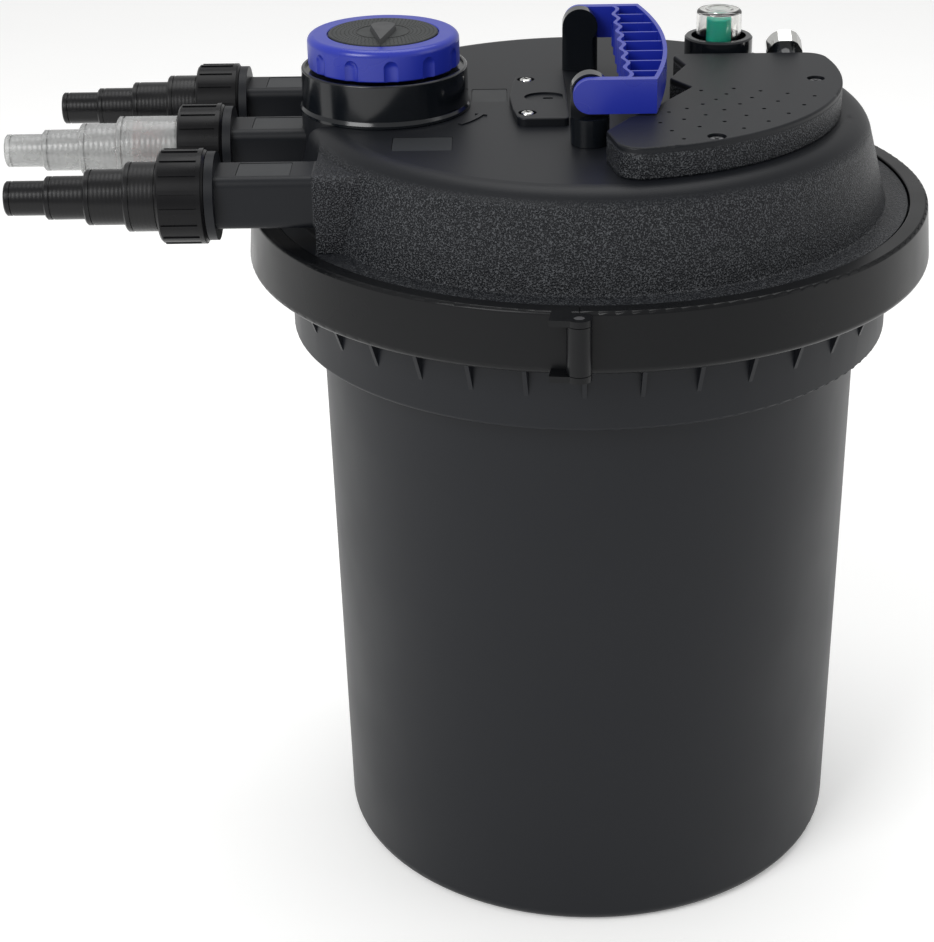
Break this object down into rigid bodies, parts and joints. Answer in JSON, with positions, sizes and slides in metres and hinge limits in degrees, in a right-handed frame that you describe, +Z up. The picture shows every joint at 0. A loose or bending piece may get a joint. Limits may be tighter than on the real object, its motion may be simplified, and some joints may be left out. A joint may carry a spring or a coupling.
{
  "type": "pressurized pond filter",
  "caption": "Bucket-shaped pressurized pond filter with a clamped domed lid, flow selector knob, stepped hose tails, cleaning handle and ultraviolet unit.",
  "frame": {"origin": "centre of the bucket's flat underside", "axes": "+Z up, hose tails point to -X, the cleaning handle folds down to +X, the clamp ring's hinge is at -Y"},
  "size_m": [0.569, 0.4418, 0.5428],
  "materials": {
    "bucket_body": "smooth satin moulded polypropylene",
    "lid_body": "fine textured moulded ABS",
    "ring_body": "satin moulded polypropylene",
    "gloss_black": "glossy moulded ABS",
    "fitting_black": "satin gloss moulded ABS",
    "blue_plastic": "satin gloss moulded ABS",
    "insert_grey": "fine dotted moulded ABS",
    "clear_plastic": "clear moulded polycarbonate",
    "red_plastic": "translucent moulded polypropylene",
    "green_plastic": "translucent moulded acrylic",
    "steel_bright": "bright plated steel",
    "steel_pin": "turned stainless steel",
    "rubber_seal": "matt nitrile rubber",
    "quartz_glass": "clear fused quartz",
    "lamp_glass": "clear lamp glass",
    "ceramic_white": "unglazed ceramic",
    "foam_coarse": "coarse open-cell foam",
    "foam_fine": "fine open-cell foam",
    "media_grey": "loose porous ceramic media",
    "inner_black": "plain moulded ABS",
    "ballast_case": "folded aluminium case"
  },
  "bodies": {
    "base": {"ballast": "ballast_case", "ballast_cover": "lid_body", "ballast_cover_screws": "steel_pin", "bucket": "bucket_body", "clamp_hinge_pin": "steel_pin", "clamp_ring_left": "ring_body", "flow_float": "red_plastic", "gland_body": "gloss_black", "gland_nut": "steel_bright", "gland_seal": "rubber_seal", "hose_tail_front": "fitting_black", "hose_tail_middle": "clear_plastic", "hose_tail_rear": "fitting_black", "indicator_core": "green_plastic", "indicator_lens": "clear_plastic", "indicator_socket": "gloss_black", "lamp_socket": "ceramic_white", "latch_pin": "steel_pin", "lid": "lid_body", "lid_seal": "rubber_seal", "media_pack": "media_grey", "media_tray": "inner_black", "quartz_sleeve": "quartz_glass", "rod_plate": "lid_body", "rod_plate_screws": "steel_bright", "rod_seals": "rubber_seal", "selector_collar": "gloss_black", "sleeve_collar": "inner_black", "sleeve_seal": "rubber_seal", "standpipe": "inner_black", "union_seals": "rubber_seal", "uv_lamp": "lamp_glass", "valve_housing": "inner_black"},
    "yoke": {"post_front": "gloss_black", "post_rear": "gloss_black", "handle_pins": "steel_pin", "pull_rods": "steel_pin", "rod_nuts": "steel_pin", "pull_plate": "inner_black", "foam_disc_1": "foam_coarse", "foam_disc_2": "foam_coarse", "foam_disc_3": "foam_fine", "foam_disc_4": "foam_fine"},
    "handle": {"cleaning_handle": "blue_plastic"},
    "knob": {"selector_knob": "blue_plastic", "knob_disc": "insert_grey", "knob_pointer": "insert_grey", "valve_rotor": "inner_black"},
    "ring_right": {"clamp_ring_right": "ring_body"},
    "latch": {"latch_lever": "ring_body"},
    "nut_front": {"union_nut_front": "fitting_black"},
    "nut_middle": {"union_nut_middle": "fitting_black"},
    "nut_rear": {"union_nut_rear": "fitting_black"}
  },
  "joints": [
    {"name": "pull_slide", "type": "slide", "parent": "base", "child": "yoke", "axis": [0, 0, 1], "range_m": [0, 0.05]},
    {"name": "handle_fold", "type": "hinge", "parent": "yoke", "child": "handle", "pos_m": [-0.0027, 0, 0.523], "axis": [0, -1, 0], "range_deg": [0, 100]},
    {"name": "selector_turn", "type": "hinge", "parent": "base", "child": "knob", "pos_m": [-0.124, 0, 0.5208], "axis": [0, 0, 1], "range_deg": [-90, 90]},
    {"name": "clamp_open", "type": "hinge", "parent": "base", "child": "ring_right", "pos_m": [-0.01394, -0.21555, 0.4221], "axis": [0, 0, -1], "range_deg": [0, 8]},
    {"name": "latch_swing", "type": "hinge", "parent": "base", "child": "latch", "pos_m": [-0.03777, 0.2142, 0.4221], "axis": [0, 0, 1], "range_deg": [0, 110]},
    {"name": "union_turn_front", "type": "hinge", "parent": "base", "child": "nut_front", "pos_m": [-0.2364, -0.091, 0.4685], "axis": [-1, 0, 0], "continuous": true},
    {"name": "union_turn_middle", "type": "hinge", "parent": "base", "child": "nut_middle", "pos_m": [-0.2364, 0, 0.4685], "axis": [-1, 0, 0], "continuous": true},
    {"name": "union_turn_rear", "type": "hinge", "parent": "base", "child": "nut_rear", "pos_m": [-0.2364, 0.091, 0.4685], "axis": [-1, 0, 0], "continuous": true}
  ],
  "couplings": [
    {"joint": "clamp_open", "follows": "latch_swing", "ratio": 0.0727}
  ]
}
